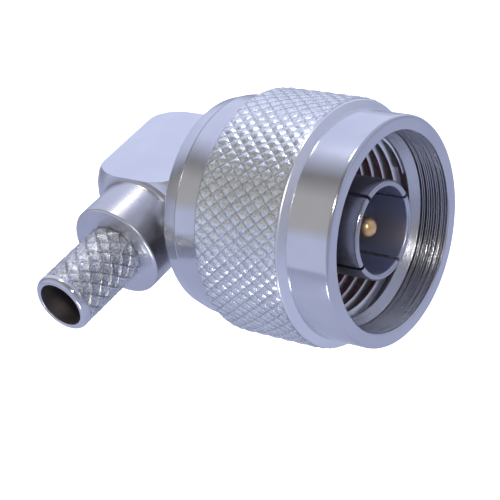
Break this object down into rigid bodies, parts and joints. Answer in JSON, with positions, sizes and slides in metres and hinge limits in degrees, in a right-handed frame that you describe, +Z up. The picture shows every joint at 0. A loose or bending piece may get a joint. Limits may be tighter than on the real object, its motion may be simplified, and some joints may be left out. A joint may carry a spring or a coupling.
{
  "type": "right-angle n type connector",
  "caption": "Right-angle coaxial cable plug: a knurled coupling nut turns on a shell around a slotted outer contact and a centre pin, and a hollow crimp stem takes the cable at the side.",
  "frame": {"origin": "centre of the coupling nut's front face", "axes": "+X along the mating axis, out of the nut's mouth; -Y along the cable's axis, out of the crimp stem; +Z up, square to both"},
  "size_m": [0.0271, 0.0265, 0.0206],
  "materials": {
    "nut_nickel": "bright nickel plate on brass",
    "body_nickel": "bright nickel plate on brass",
    "contact_nickel": "nickel plate on spring bronze",
    "contact_gold": "thin gold plate on brass",
    "ring_bronze": "bare spring bronze",
    "insulator_white": "turned fluoropolymer",
    "gasket_red": "moulded silicone"
  },
  "bodies": {
    "plug_body": {"front_shell": "body_nickel", "outer_contact": "contact_nickel", "insulator": "insulator_white", "centre_contact": "contact_gold", "elbow_body": "body_nickel", "access_cap": "body_nickel", "gasket": "gasket_red", "retaining_ring": "ring_bronze"},
    "nut": {"coupling_nut": "nut_nickel"}
  },
  "joints": [
    {"name": "nut_turn", "type": "hinge", "parent": "plug_body", "child": "nut", "pos_m": [-0.0085, 0, 0], "axis": [1, 0, 0], "continuous": true}
  ]
}
